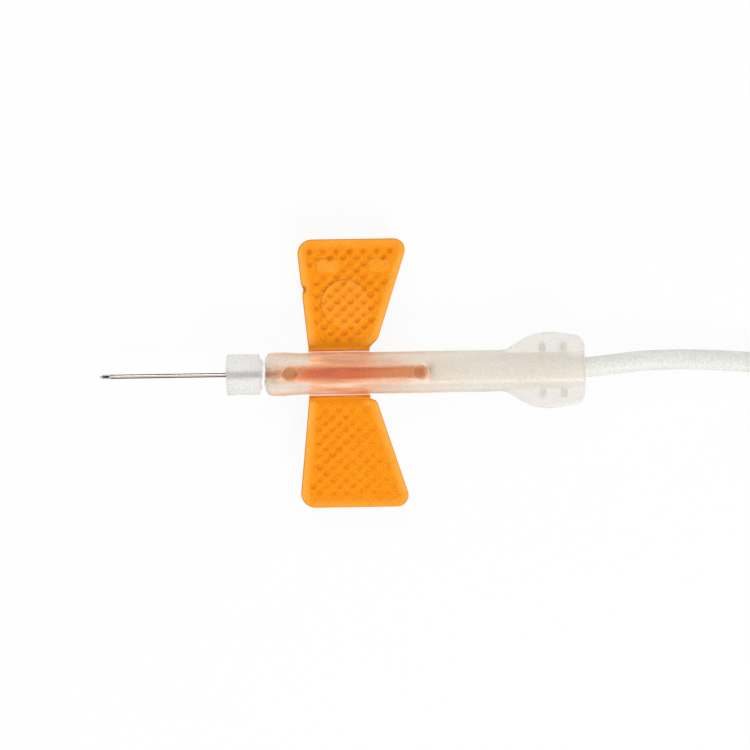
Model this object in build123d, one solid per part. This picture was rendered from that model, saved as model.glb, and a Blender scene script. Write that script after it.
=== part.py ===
from build123d import *

import math
import os

# A winged needle set: a steel needle in a coloured hub with two folding finger wings,
# a clear guard that slides forward over the needle, a soft tube and its connector.
#
# X runs along the needle and its point looks to -X, Y runs across the wings, Z is up.
# The origin lies on the surface that the guard rests on, under the middle of the length
# from the needle's point to the guard's rear. Sizes are in millimetres and degrees.

# Needle
NEEDLE_OD = 0.50
NEEDLE_ID = 0.26
NEEDLE_EXPOSED = 15.0
NEEDLE_SEAT = 4.0
BEVEL_ANGLE = 17.0
LANCET_ANGLE = 24.0
LANCET_TWIST = 42.0
LANCET_LENGTH = 0.55
GRINDING_WIDTH = 4.0
GRINDING_LENGTH = 6.0

# Guard: sleeve and nose cap
SLEEVE_LENGTH = 37.6
SLEEVE_RADIUS = 2.5
SLEEVE_FRONT_RADIUS = 2.6
FRONT_BAND = 4.2
FRONT_ROUND = 0.85
FRONT_ROUND_STEP = 0.25
BORE_RADIUS = 1.95
FRONT_BORE_RADIUS = 1.5
FRONT_BORE_LENGTH = 5.0
BORE_STEP_LENGTH = 0.8
REAR_WALL = 1.9
NOSE_RADIUS = 2.4
NOSE_LENGTH = 3.9
NOSE_EDGE_CHAMFER = 0.15
NECK_GAP = 0.7
PLUG_LENGTH = 1.5
NOSE_MOUTH_RADIUS = 0.45
NOSE_CHAMFER = 0.25
NOSE_FUNNEL = 0.6

# Finger grip at the sleeve's rear
GRIP_START = 12.5
GRIP_FOOT = 10.5
GRIP_FOOT_HALF_WIDTH = 1.7
GRIP_SHOULDER = 5.6
GRIP_SHOULDER_HALF_WIDTH = 4.78
GRIP_REAR_HALF_WIDTH = 3.95
GRIP_FLARE_ROUND = 3.0
GRIP_SHOULDER_ROUND = 6.5
GRIP_CORNER_ROUND = 1.5
GRIP_THICKNESS = 2.6
GRIP_EDGE_CHAMFER = 0.45
POCKET_LENGTH = 0.8
POCKET_WIDTH = 1.25
POCKET_DEPTH = 0.4
POCKET_SPACING = 2.5
POCKET_REAR = 2.5
POCKET_OFFSET = 2.72

# Hub: barrel, webs, ribs, fins, latch button and tube spigot
HUB_LENGTH = 18.95
BARREL_RADIUS = 0.95
BARREL_NOSE_TAPER = 0.9
BARREL_NOSE_RADIUS = 0.6
CHANNEL_RADIUS = 0.4
FLANGE_LENGTH = 0.8
WEB_SETBACK = 4.8
WEB_LENGTH = 7.2
WEB_THICKNESS = 0.8
RIB_THICKNESS = 0.7
RIB_LENGTH = 11.5
FIN_LENGTH = 6.2
LATCH_SETBACK = 2.6
LATCH_BUTTON_RADIUS = 0.72
LATCH_HOLE_RADIUS = 1.0
LATCH_TRACK_WALL = 0.35
SPIGOT_LENGTH = 4.0

# Wings
WING_SPAN = 15.8
WING_THICKNESS = 0.8
WING_LEAD_LEAN = 5.8
WING_TRAIL_LEAN = 18.0
WING_SHOULDER_OUT = 1.0
WING_SHOULDER_BACK = 1.0
WING_LEAD_ROUND = 1.7
WING_TRAIL_ROUND = 1.35
WING_SHOULDER_ROUND = 1.4
WING_EDGE_CHAMFER = 0.15
RIM_WIDTH = 0.85
RIM_HEIGHT = 0.1
DIMPLE_PITCH = 1.52
DIMPLE_RADIUS = 0.3
DIMPLE_DEPTH = 0.16
DIMPLE_SIDES = 6
DIMPLE_MARGIN = 0.42
DISC_RADIUS = 2.8
DISC_RING_WIDTH = 0.25
DISC_FROM_TIP = 7.6
DISC_BACK = 1.0
OVAL_LENGTH = 2.6
OVAL_WIDTH = 1.5
OVAL_FROM_TIP = 3.0
OVAL_SPACING = 6.6
OVAL_BACK = 1.4
OVAL_CORNER = 0.6

# Tube, coil and connector
TUBE_OD = 2.36
TUBE_ID = 1.50
COIL_RADIUS = 11.8
COIL_PITCH = 2.42
COIL_LAYER_RISE = 2.08
COIL_CENTRE = (62.9, -15.2)
COIL_ENTRY_ANGLE = 78.0
COIL_EXIT_ANGLE = 84.0
CONNECTOR_LENGTH = 17.0
CONNECTOR_SOCKET_RADIUS = 2.1
CONNECTOR_SOCKET_LENGTH = 4.5
CONNECTOR_GRIP_RADIUS = 2.85
CONNECTOR_GRIP_LENGTH = 7.0
CONNECTOR_RIB_REACH = 0.45
CONNECTOR_RIB_WIDTH = 0.7
CONNECTOR_RIBS = 8
CONNECTOR_NECK_RADIUS = 2.75
LUER_MOUTH_RADIUS = 2.15
LUER_TAPER = 0.06
LUER_DEPTH = 9.0
LUG_REACH = 3.9
LUG_LENGTH = 1.1
LUG_WIDTH = 2.6

# Arcs of the tube's route, for each of the shorter run's length
ARC_SHARE = 0.45

# Clearances and fits
TIP_COVER = 0.4
HUB_END_GAP = 0.3
SLOT_CLEARANCE = 0.1
SLOT_END_GAP = 0.2
RIB_CLEARANCE = 0.08
PLUG_CLEARANCE = 0.12
LATCH_CLEARANCE = 0.1
TRACK_SIDE_CLEARANCE = 0.15
TUBE_EXIT_CLEARANCE = 0.32
HINGE_GUARD_CLEARANCE = 0.1
HINGE_CLEARANCE = 0.05
FLOOR_CLEARANCE = 0.02
CUT = 1.0

# Places along X, worked out from the lengths
TOTAL_LENGTH = NEEDLE_EXPOSED + NOSE_LENGTH + NECK_GAP + SLEEVE_LENGTH
TIP_X = -TOTAL_LENGTH / 2
NOSE_X = TIP_X + NEEDLE_EXPOSED
NOSE_REAR_X = NOSE_X + NOSE_LENGTH
SLEEVE_X = NOSE_REAR_X + NECK_GAP
SLEEVE_REAR_X = SLEEVE_X + SLEEVE_LENGTH
HUB_X = SLEEVE_X + HUB_END_GAP
HUB_REAR_X = HUB_X + HUB_LENGTH
WEB_X = HUB_X + WEB_SETBACK
WEB_REAR_X = WEB_X + WEB_LENGTH
LATCH_X = HUB_X + LATCH_SETBACK
TRAVEL = NEEDLE_EXPOSED + TIP_COVER
SLOT_END_X = WEB_REAR_X + TRAVEL + SLOT_END_GAP

# Heights and places across
AXIS_Z = SLEEVE_FRONT_RADIUS
TUBE_FLOOR_Z = TUBE_OD / 2 + FLOOR_CLEARANCE
WING_ROOT_RADIUS = WING_THICKNESS / 2
HINGE_Y = SLEEVE_RADIUS + HINGE_GUARD_CLEARANCE + WING_ROOT_RADIUS
WEB_END_Y = HINGE_Y - WING_ROOT_RADIUS - HINGE_CLEARANCE
LATCH_TRACK_Z = SLEEVE_RADIUS - LATCH_TRACK_WALL
WING_TOP = WING_THICKNESS / 2

# Where a basic solid sits on its own origin
FROM_BASE = (Align.CENTER, Align.CENTER, Align.MIN)
FROM_TOP = (Align.CENTER, Align.CENTER, Align.MAX)
FROM_SIDE = (Align.MIN, Align.CENTER, Align.MIN)
FROM_CORNER = (Align.MIN, Align.MIN, Align.MIN)


def along_x(x, radius, length):
    """A round bar along X on the needle's axis, from x on."""
    round_bar = Cylinder(radius, length, align=FROM_BASE)
    return Pos(x, 0, AXIS_Z) * Rot(0, 90, 0) * round_bar


def turned(*profile):
    """A solid turned about the needle's axis from (x, radius) points that start and end on the axis."""
    outline = Polyline(*[(x, 0, radius) for x, radius in profile], close=True)
    return Pos(0, 0, AXIS_Z) * revolve(make_face(outline), Axis.X)


def bar(x0, x1, y0, y1, z0, z1):
    """A block between two corners, with its heights counted from the needle's axis."""
    block = Box(x1 - x0, y1 - y0, z1 - z0, align=FROM_CORNER)
    return Pos(x0, y0, AXIS_Z + z0) * block


def needle_cannula():
    """The steel tube, ground to a bevel that looks up and two side facets at its point."""
    length = HUB_X + NEEDLE_SEAT - TIP_X
    tube = along_x(TIP_X, NEEDLE_OD / 2, length)
    tube -= along_x(TIP_X - CUT, NEEDLE_ID / 2, length + 2 * CUT)
    wheel = Box(GRINDING_LENGTH, GRINDING_WIDTH, GRINDING_WIDTH, align=FROM_SIDE)
    bottom = AXIS_Z - NEEDLE_OD / 2
    tube -= Pos(TIP_X, 0, bottom) * Rot(0, -BEVEL_ANGLE, 0) * Pos(-CUT, 0, 0) * wheel
    point_rise = NEEDLE_OD / 2 * (1 - math.cos(math.radians(LANCET_TWIST)))
    forward = point_rise / math.tan(math.radians(LANCET_ANGLE))
    facet_length = CUT + LANCET_LENGTH / math.cos(math.radians(LANCET_ANGLE))
    facet = Box(facet_length, GRINDING_WIDTH, GRINDING_WIDTH, align=FROM_SIDE)
    facet = Pos(-forward, 0, -NEEDLE_OD / 2) * Rot(0, -LANCET_ANGLE, 0) * Pos(-CUT, 0, 0) * facet
    for side in (-1, 1):
        tube -= Pos(TIP_X, 0, AXIS_Z) * Rot(side * LANCET_TWIST, 0, 0) * facet
    return tube


def wing_hub():
    """The core moulding: barrel, webs to the wings, ribs, fins, latch button and tube spigot."""
    nose_end = HUB_X + BARREL_NOSE_TAPER
    flange_x = HUB_REAR_X - FLANGE_LENGTH
    spigot_end = HUB_REAR_X + SPIGOT_LENGTH
    hub = turned(
        (HUB_X, 0),
        (HUB_X, BARREL_NOSE_RADIUS),
        (nose_end, BARREL_RADIUS),
        (flange_x, BARREL_RADIUS),
        (flange_x, TUBE_OD / 2),
        (HUB_REAR_X, TUBE_OD / 2),
        (HUB_REAR_X, TUBE_ID / 2),
        (spigot_end, TUBE_ID / 2),
        (spigot_end, 0),
    )
    hub += bar(WEB_X, WEB_REAR_X, -WEB_END_Y, WEB_END_Y, -WEB_THICKNESS / 2, WEB_THICKNESS / 2)
    rib_reach = BORE_RADIUS - RIB_CLEARANCE
    rib_x = SLEEVE_X + FRONT_BORE_LENGTH + BORE_STEP_LENGTH
    rib_end = rib_x + RIB_LENGTH
    rib = turned((rib_x, 0), (rib_x + rib_reach, rib_reach), (rib_end, rib_reach), (rib_end, 0))
    hub += rib & bar(rib_x, rib_end, -RIB_THICKNESS / 2, RIB_THICKNESS / 2, -rib_reach, rib_reach)
    fin_end = WEB_REAR_X + FIN_LENGTH
    fin_reach = rib_reach - RIB_CLEARANCE
    fin_side = [(WEB_REAR_X, fin_reach), (fin_end, BARREL_RADIUS)]
    fin_other = [(x, -y) for x, y in reversed(fin_side)]
    fins = extrude(make_face(Polyline(*fin_side, *fin_other, close=True)), WEB_THICKNESS)
    hub += Pos(0, 0, AXIS_Z - WEB_THICKNESS / 2) * fins
    button_top = LATCH_TRACK_Z - LATCH_CLEARANCE
    button = Cylinder(LATCH_BUTTON_RADIUS, button_top, align=FROM_BASE)
    button = chamfer(button.edges().group_by(Axis.Z)[-1], LATCH_CLEARANCE)
    hub += Pos(LATCH_X, 0, AXIS_Z) * button
    hub -= along_x(HUB_X - CUT, NEEDLE_OD / 2, NEEDLE_SEAT + CUT)
    hub -= along_x(HUB_X + NEEDLE_SEAT, CHANNEL_RADIUS, 2 * HUB_LENGTH)
    return hub


def wing_outline():
    """The plan of the wing on the +Y side, from its hinge line to its tip."""
    span = WING_SPAN - HINGE_Y
    shoulder = (WEB_REAR_X + WING_SHOULDER_BACK, HINGE_Y + WING_SHOULDER_OUT)
    lead_tip = (WEB_X - span * math.tan(math.radians(WING_LEAD_LEAN)), WING_SPAN)
    trail_run = (WING_SPAN - shoulder[1]) * math.tan(math.radians(WING_TRAIL_LEAN))
    trail_tip = (shoulder[0] + trail_run, WING_SPAN)
    points = [(WEB_X, HINGE_Y), lead_tip, trail_tip, shoulder, (WEB_REAR_X, HINGE_Y)]
    radii = [0, WING_LEAD_ROUND, WING_TRAIL_ROUND, WING_SHOULDER_ROUND, 0]
    return make_face(FilletPolyline(*points, radius=radii, close=True))


def wing_middle(y):
    """The X half way between the wing's leading and trailing edges at y."""
    lead = WEB_X - (y - HINGE_Y) * math.tan(math.radians(WING_LEAD_LEAN))
    out = y - HINGE_Y - WING_SHOULDER_OUT
    trail = WEB_REAR_X + WING_SHOULDER_BACK + out * math.tan(math.radians(WING_TRAIL_LEAN))
    return (lead + trail) / 2


def ring_wall(radius, width):
    """A flat ring in plan."""
    return Circle(radius) - Circle(radius - width)


def raised_marks():
    """The plan of the upper wing's raised ring and two plain oval pads."""
    disc_y = WING_SPAN - DISC_FROM_TIP
    oval_y = WING_SPAN - OVAL_FROM_TIP
    middle = wing_middle(oval_y)
    marks = Pos(wing_middle(disc_y) - DISC_BACK, disc_y) * ring_wall(DISC_RADIUS, DISC_RING_WIDTH)
    oval = RectangleRounded(OVAL_LENGTH, OVAL_WIDTH, OVAL_CORNER)
    for side in (-1, 1):
        marks += Pos(middle - OVAL_BACK + side * OVAL_SPACING / 2, oval_y) * oval
    return marks


def dimple_places(field, marks):
    """The points of the staggered lattice whose dimples fit inside the wing's field."""
    rows = math.ceil(2 * WING_SPAN / DIMPLE_PITCH)
    columns = math.ceil(2 * WING_SPAN / DIMPLE_PITCH)
    inner = offset(field, -DIMPLE_MARGIN)
    taken = offset(marks, DIMPLE_RADIUS) if marks else None
    places = []
    for row in range(rows):
        y = WING_SPAN - RIM_WIDTH - DIMPLE_MARGIN - row * DIMPLE_PITCH / 2
        shift = (row % 2) * DIMPLE_PITCH / 2
        for column in range(-columns, columns):
            point = (column * DIMPLE_PITCH + shift, y, 0)
            free = taken is None or not any(face.is_inside(point) for face in taken.faces())
            if free and any(face.is_inside(point) for face in inner.faces()):
                places.append(point)
    return places


def wing(marks):
    """The wing on the +Y side, with its round hinge root, its rim, its marks and its dimples."""
    outline = wing_outline()
    plate = Pos(0, 0, -WING_TOP) * extrude(outline, WING_THICKNESS)
    around = plate.edges().filter_by(Plane.XY)
    outer = [edge for edge in around if edge.center().Y > HINGE_Y + WING_EDGE_CHAMFER]
    plate = chamfer(outer, WING_EDGE_CHAMFER)
    field = offset(outline, -RIM_WIDTH)
    recess = field - marks if marks else field
    plate -= Pos(0, 0, WING_TOP - RIM_HEIGHT) * extrude(recess, CUT)
    floor = WING_TOP - RIM_HEIGHT
    dimple = loft([RegularPolygon(DIMPLE_RADIUS, DIMPLE_SIDES).face(), Vertex(0, 0, -DIMPLE_DEPTH)])
    plate -= [Pos(x, y, floor) * dimple for x, y, _ in dimple_places(field, marks)]
    root = Pos(WEB_X, HINGE_Y, 0) * Rot(0, 90, 0)
    root *= Cylinder(WING_ROOT_RADIUS, WEB_LENGTH, align=FROM_BASE)
    return Pos(0, 0, AXIS_Z) * (plate + root)


def wing_right():
    """The wing with the raised ring and the oval pads."""
    return wing(raised_marks())


def wing_left():
    """The plain wing, on the other side."""
    return mirror(wing(None), Plane.XZ)


def grip_outline():
    """The plan of the finger grip, which flares out of the sleeve on both sides."""
    side = [
        (SLEEVE_REAR_X - GRIP_START, GRIP_FOOT_HALF_WIDTH),
        (SLEEVE_REAR_X - GRIP_FOOT, GRIP_FOOT_HALF_WIDTH),
        (SLEEVE_REAR_X - GRIP_SHOULDER, GRIP_SHOULDER_HALF_WIDTH),
        (SLEEVE_REAR_X, GRIP_REAR_HALF_WIDTH),
    ]
    other = [(x, -y) for x, y in reversed(side)]
    corners = [0, GRIP_FLARE_ROUND, GRIP_SHOULDER_ROUND, GRIP_CORNER_ROUND]
    return make_face(FilletPolyline(*side, *other, radius=corners + corners[::-1], close=True))


def guard_sleeve():
    """The sleeve: slots for the webs, a track and two holes for the latch, and the finger grip."""
    band_end = SLEEVE_X + FRONT_BAND
    body = turned(
        (SLEEVE_X, 0),
        (SLEEVE_X, SLEEVE_FRONT_RADIUS - FRONT_ROUND),
        (SLEEVE_X + FRONT_ROUND_STEP, SLEEVE_FRONT_RADIUS - FRONT_ROUND_STEP),
        (SLEEVE_X + FRONT_ROUND, SLEEVE_FRONT_RADIUS),
        (SLEEVE_X + FRONT_BAND / 2, SLEEVE_FRONT_RADIUS),
        (band_end, SLEEVE_RADIUS),
        (SLEEVE_REAR_X, SLEEVE_RADIUS),
        (SLEEVE_REAR_X, 0),
    )
    grip = Pos(0, 0, AXIS_Z - GRIP_THICKNESS / 2) * extrude(grip_outline(), GRIP_THICKNESS)
    inside_x = SLEEVE_REAR_X - GRIP_START + GRIP_EDGE_CHAMFER
    rims = [edge for edge in grip.edges().filter_by(Plane.XY) if edge.center().X > inside_x]
    body += chamfer(rims, GRIP_EDGE_CHAMFER)
    bore_x = SLEEVE_X + FRONT_BORE_LENGTH
    wall_x = SLEEVE_REAR_X - REAR_WALL
    exit_radius = TUBE_OD / 2 + TUBE_EXIT_CLEARANCE
    body -= turned(
        (SLEEVE_X - CUT, 0),
        (SLEEVE_X - CUT, FRONT_BORE_RADIUS),
        (bore_x, FRONT_BORE_RADIUS),
        (bore_x + BORE_STEP_LENGTH, BORE_RADIUS),
        (wall_x, BORE_RADIUS),
        (wall_x, exit_radius),
        (SLEEVE_REAR_X + CUT, exit_radius),
        (SLEEVE_REAR_X + CUT, 0),
    )
    slot_height = WEB_THICKNESS + 2 * SLOT_CLEARANCE
    slot_round = slot_height / 2
    slot_side = SLEEVE_FRONT_RADIUS + CUT
    slot = bar(SLEEVE_X - CUT, SLOT_END_X - slot_round, -slot_side, slot_side, -slot_round, slot_round)
    slot += Pos(SLOT_END_X - slot_round, 0, AXIS_Z) * Rot(90, 0, 0) * Cylinder(slot_round, 2 * slot_side)
    body -= slot
    track_half = LATCH_BUTTON_RADIUS + TRACK_SIDE_CLEARANCE
    body -= bar(SLEEVE_X - CUT, LATCH_X + TRAVEL, -track_half, track_half, 0, LATCH_TRACK_Z)
    hole = Cylinder(LATCH_HOLE_RADIUS, 2 * SLEEVE_FRONT_RADIUS, align=FROM_BASE)
    for x in (LATCH_X, LATCH_X + TRAVEL):
        body -= Pos(x, 0, AXIS_Z) * hole
    pocket = Box(POCKET_LENGTH, POCKET_WIDTH, 2 * POCKET_DEPTH)
    for row in (0, 1):
        for side in (-1, 1):
            for face in (-1, 1):
                x = SLEEVE_REAR_X - POCKET_REAR - row * POCKET_SPACING
                body -= Pos(x, side * POCKET_OFFSET, AXIS_Z + face * GRIP_THICKNESS / 2) * pocket
    return body


def guard_nose():
    """The nose cap, whose neck is pressed in the sleeve's front bore."""
    plug_end = SLEEVE_X + PLUG_LENGTH
    cap = along_x(NOSE_X, NOSE_RADIUS, NOSE_LENGTH)
    cap = chamfer(cap.edges().filter_by(GeomType.CIRCLE), NOSE_EDGE_CHAMFER)
    cap += along_x(NOSE_REAR_X - CUT, FRONT_BORE_RADIUS, plug_end - NOSE_REAR_X + CUT)
    inner = BARREL_RADIUS + PLUG_CLEARANCE
    cap -= turned(
        (NOSE_X - CUT, 0),
        (NOSE_X - CUT, NOSE_MOUTH_RADIUS + NOSE_CHAMFER + CUT),
        (NOSE_X + NOSE_CHAMFER, NOSE_MOUTH_RADIUS),
        (SLEEVE_X - NOSE_FUNNEL, NOSE_MOUTH_RADIUS),
        (SLEEVE_X, inner),
        (plug_end + CUT, inner),
        (plug_end + CUT, 0),
    )
    return cap


def arc_radii(points):
    """The radius of the arc at each inner point, from the shorter run and half the turn."""
    radii = []
    for before, here, after in zip(points, points[1:], points[2:]):
        came = Vector(*here) - Vector(*before)
        goes = Vector(*after) - Vector(*here)
        half_turn = math.radians(came.get_angle(goes)) / 2
        radii.append(ARC_SHARE * min(came.length, goes.length) / math.tan(half_turn))
    return radii


def tube_along(name, points):
    """The tube's plain solid along straight runs joined by arcs, whose radii are printed."""
    radii = arc_radii(points)
    path = FilletPolyline(*points, radius=radii)
    start = Plane(path @ 0, z_dir=path % 0)
    section = Circle(TUBE_OD / 2)
    tube = sweep(start * section, path=path)
    print(name, "length", round(path.length, 2), "radii", [round(radius, 1) for radius in radii])
    expected = section.area * path.length
    print(name, "volume", round(tube.volume, 2), "section times length", round(expected, 2))
    return tube


def coil_point(angle, radius, z):
    """A point on a turn of the coil."""
    turn = math.radians(angle)
    return (COIL_CENTRE[0] + radius * math.cos(turn), COIL_CENTRE[1] + radius * math.sin(turn), z)


def route_in():
    """The tube's route from the hub's spigot to the coil, its outer points chosen by hand."""
    return [
        (HUB_REAR_X, 0, AXIS_Z),
        (27.4, 0, AXIS_Z),
        (44.6, 1.05, 1.75),
        (54.8, -0.2, TUBE_FLOOR_Z),
        coil_point(COIL_ENTRY_ANGLE, COIL_RADIUS + COIL_PITCH / 2, TUBE_FLOOR_Z),
    ]


def route_out():
    """The tube's route off the coil's top turn to the connector, chosen by hand."""
    top_z = TUBE_FLOOR_Z + COIL_LAYER_RISE
    rest_z = CONNECTOR_GRIP_RADIUS + CONNECTOR_RIB_REACH + FLOOR_CLEARANCE
    return [
        coil_point(COIL_EXIT_ANGLE, COIL_RADIUS, top_z),
        (70.7, -4.15, rest_z),
        (76.1, -7.95, rest_z),
        (79.0, -13.9, rest_z),
    ]


def tube():
    """The tube from the hub's spigot through the guard to the coil."""
    return tube_along("tube", route_in())


def tube_tail():
    """The tube's last stretch, from the coil to the connector."""
    return tube_along("tube_tail", route_out())


def tube_coil():
    """The closed outer shape of the coil: two turns on the floor and one in the groove on top."""
    half = TUBE_OD / 2
    low_z = TUBE_FLOOR_Z - half
    side_z = TUBE_FLOOR_Z + half / 2
    top_z = TUBE_FLOOR_Z + COIL_LAYER_RISE + half
    wide = COIL_PITCH / 2 + half
    bevel = half / 2
    half_section = [(wide - bevel, low_z), (wide, low_z + bevel), (wide, side_z), (half - bevel, top_z)]
    outer = [(COIL_RADIUS + across, z) for across, z in half_section]
    inner = [(COIL_RADIUS - across, z) for across, z in reversed(half_section)]
    ring = revolve(Plane.XZ * make_face(Polyline(*outer, *inner, close=True)), Axis.Z)
    return Pos(*COIL_CENTRE, 0) * ring


def luer_connector():
    """The female luer connector: tube socket, ribbed grip, tapered mouth and two lugs."""
    before, end = (Vector(*point) for point in route_out()[-2:])
    grip_x = CONNECTOR_SOCKET_LENGTH
    neck_x = grip_x + CONNECTOR_GRIP_LENGTH
    outline = Polyline(
        (0, 0),
        (CONNECTOR_SOCKET_RADIUS, 0),
        (CONNECTOR_SOCKET_RADIUS, grip_x),
        (CONNECTOR_GRIP_RADIUS, grip_x),
        (CONNECTOR_GRIP_RADIUS, neck_x),
        (CONNECTOR_NECK_RADIUS, neck_x),
        (CONNECTOR_NECK_RADIUS, CONNECTOR_LENGTH),
        (0, CONNECTOR_LENGTH),
        close=True,
    )
    body = revolve(Plane.XZ * make_face(outline), Axis.Z)
    rib_reach = CONNECTOR_GRIP_RADIUS + CONNECTOR_RIB_REACH
    rib = Box(rib_reach, CONNECTOR_RIB_WIDTH, CONNECTOR_GRIP_LENGTH, align=FROM_SIDE)
    for turn in range(CONNECTOR_RIBS):
        body += Pos(0, 0, grip_x) * Rot(0, 0, turn * 360 / CONNECTOR_RIBS) * rib
    lug = Box(2 * LUG_REACH, LUG_WIDTH, LUG_LENGTH, align=FROM_TOP)
    rounding = Cylinder(LUG_REACH, LUG_LENGTH, align=FROM_TOP)
    body += Pos(0, 0, CONNECTOR_LENGTH) * Rot(0, 0, 90) * (lug & rounding)
    mouth_end = LUER_MOUTH_RADIUS - LUER_TAPER * LUER_DEPTH / 2
    luer = Cone(mouth_end, LUER_MOUTH_RADIUS, LUER_DEPTH, align=FROM_TOP)
    body -= Pos(0, 0, CONNECTOR_LENGTH) * luer
    body -= Cylinder(TUBE_ID / 2, CONNECTOR_LENGTH, align=FROM_BASE)
    return Plane(end, x_dir=(0, 0, -1), z_dir=end - before) * body


SUB_PARTS = [
    needle_cannula,
    wing_hub,
    wing_left,
    wing_right,
    guard_sleeve,
    guard_nose,
    tube,
    tube_coil,
    tube_tail,
    luer_connector,
]

os.makedirs("parts", exist_ok=True)
for sub_part in SUB_PARTS:
    export_step(sub_part(), f"parts/{sub_part.__name__}.step")
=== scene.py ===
"""A winged needle set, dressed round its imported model: steel needle, clear guard, wings, tube."""

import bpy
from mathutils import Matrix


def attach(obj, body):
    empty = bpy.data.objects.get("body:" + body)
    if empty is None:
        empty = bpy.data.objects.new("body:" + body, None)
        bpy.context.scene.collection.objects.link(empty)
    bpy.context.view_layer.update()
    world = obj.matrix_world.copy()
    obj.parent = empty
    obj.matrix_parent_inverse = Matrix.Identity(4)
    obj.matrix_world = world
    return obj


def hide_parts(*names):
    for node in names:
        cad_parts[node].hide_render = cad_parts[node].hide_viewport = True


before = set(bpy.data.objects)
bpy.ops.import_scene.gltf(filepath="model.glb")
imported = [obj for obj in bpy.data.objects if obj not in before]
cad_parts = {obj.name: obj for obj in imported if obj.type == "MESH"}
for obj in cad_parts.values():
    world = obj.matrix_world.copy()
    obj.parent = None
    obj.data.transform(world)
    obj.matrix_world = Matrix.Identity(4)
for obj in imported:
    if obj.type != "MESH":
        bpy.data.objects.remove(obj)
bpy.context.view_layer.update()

import logging
import math
import random
from dataclasses import dataclass
from enum import Enum
from itertools import product
from typing import Callable

import bmesh
import bpy
import numpy as np
from mathutils import Euler, Vector

LOG = logging.getLogger("needle_set")

# Places in millimetres that several pieces share. X runs along the needle's axis.
AXIS_Z = 2.6
NOSE_X = -13.6
SLEEVE_X = -9.0
SLEEVE_REAR_X = 28.6
HUB_REAR_X = 10.25
WEB_X = -3.9
WEB_REAR_X = 3.3
HINGE_Y = 3.0

# A millimetre in metres, and the distance in metres below which two points are one.
MM = 0.001
WELD = 1e-7

Point = tuple[float, float, float]
Colour = tuple[float, float, float]
Span = tuple[float, float]
Loop = list[tuple[float, float]]

WHITE = (1.0, 1.0, 1.0)


def linear(red: int, green: int, blue: int) -> Colour:
    """Turns a colour as a screen shows it, on the sRGB curve, into the one that a shader takes.

    Args:
        red: The red value, 0 to 255.
        green: The green value, 0 to 255.
        blue: The blue value, 0 to 255.

    Returns:
        The same colour with linear values from 0 to 1.
    """
    shares = (value / 255 for value in (red, green, blue))
    return tuple(s / 12.92 if s <= 0.04045 else ((s + 0.055) / 1.055) ** 2.4 for s in shares)


class Sock:
    """A shader socket on which Python's operators build Math nodes."""

    def __init__(self, graph: "Graph", socket: "bpy.types.NodeSocket | None") -> None:
        """Keeps the graph that the socket belongs to, and the socket."""
        self.graph = graph
        self.socket = socket

    def output(self, name: str) -> "Sock":
        """Gives another output of the same node."""
        return Sock(self.graph, self.socket.node.outputs[name])

    def __add__(self, other: "Sock | float") -> "Sock":
        """Adds."""
        return self.graph.math("ADD", self, other)

    __radd__ = __add__

    def __sub__(self, other: "Sock | float") -> "Sock":
        """Subtracts other from this."""
        return self.graph.math("SUBTRACT", self, other)

    def __rsub__(self, other: "Sock | float") -> "Sock":
        """Subtracts this from other."""
        return self.graph.math("SUBTRACT", other, self)

    def __mul__(self, other: "Sock | float") -> "Sock":
        """Multiplies."""
        return self.graph.math("MULTIPLY", self, other)

    __rmul__ = __mul__


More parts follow.
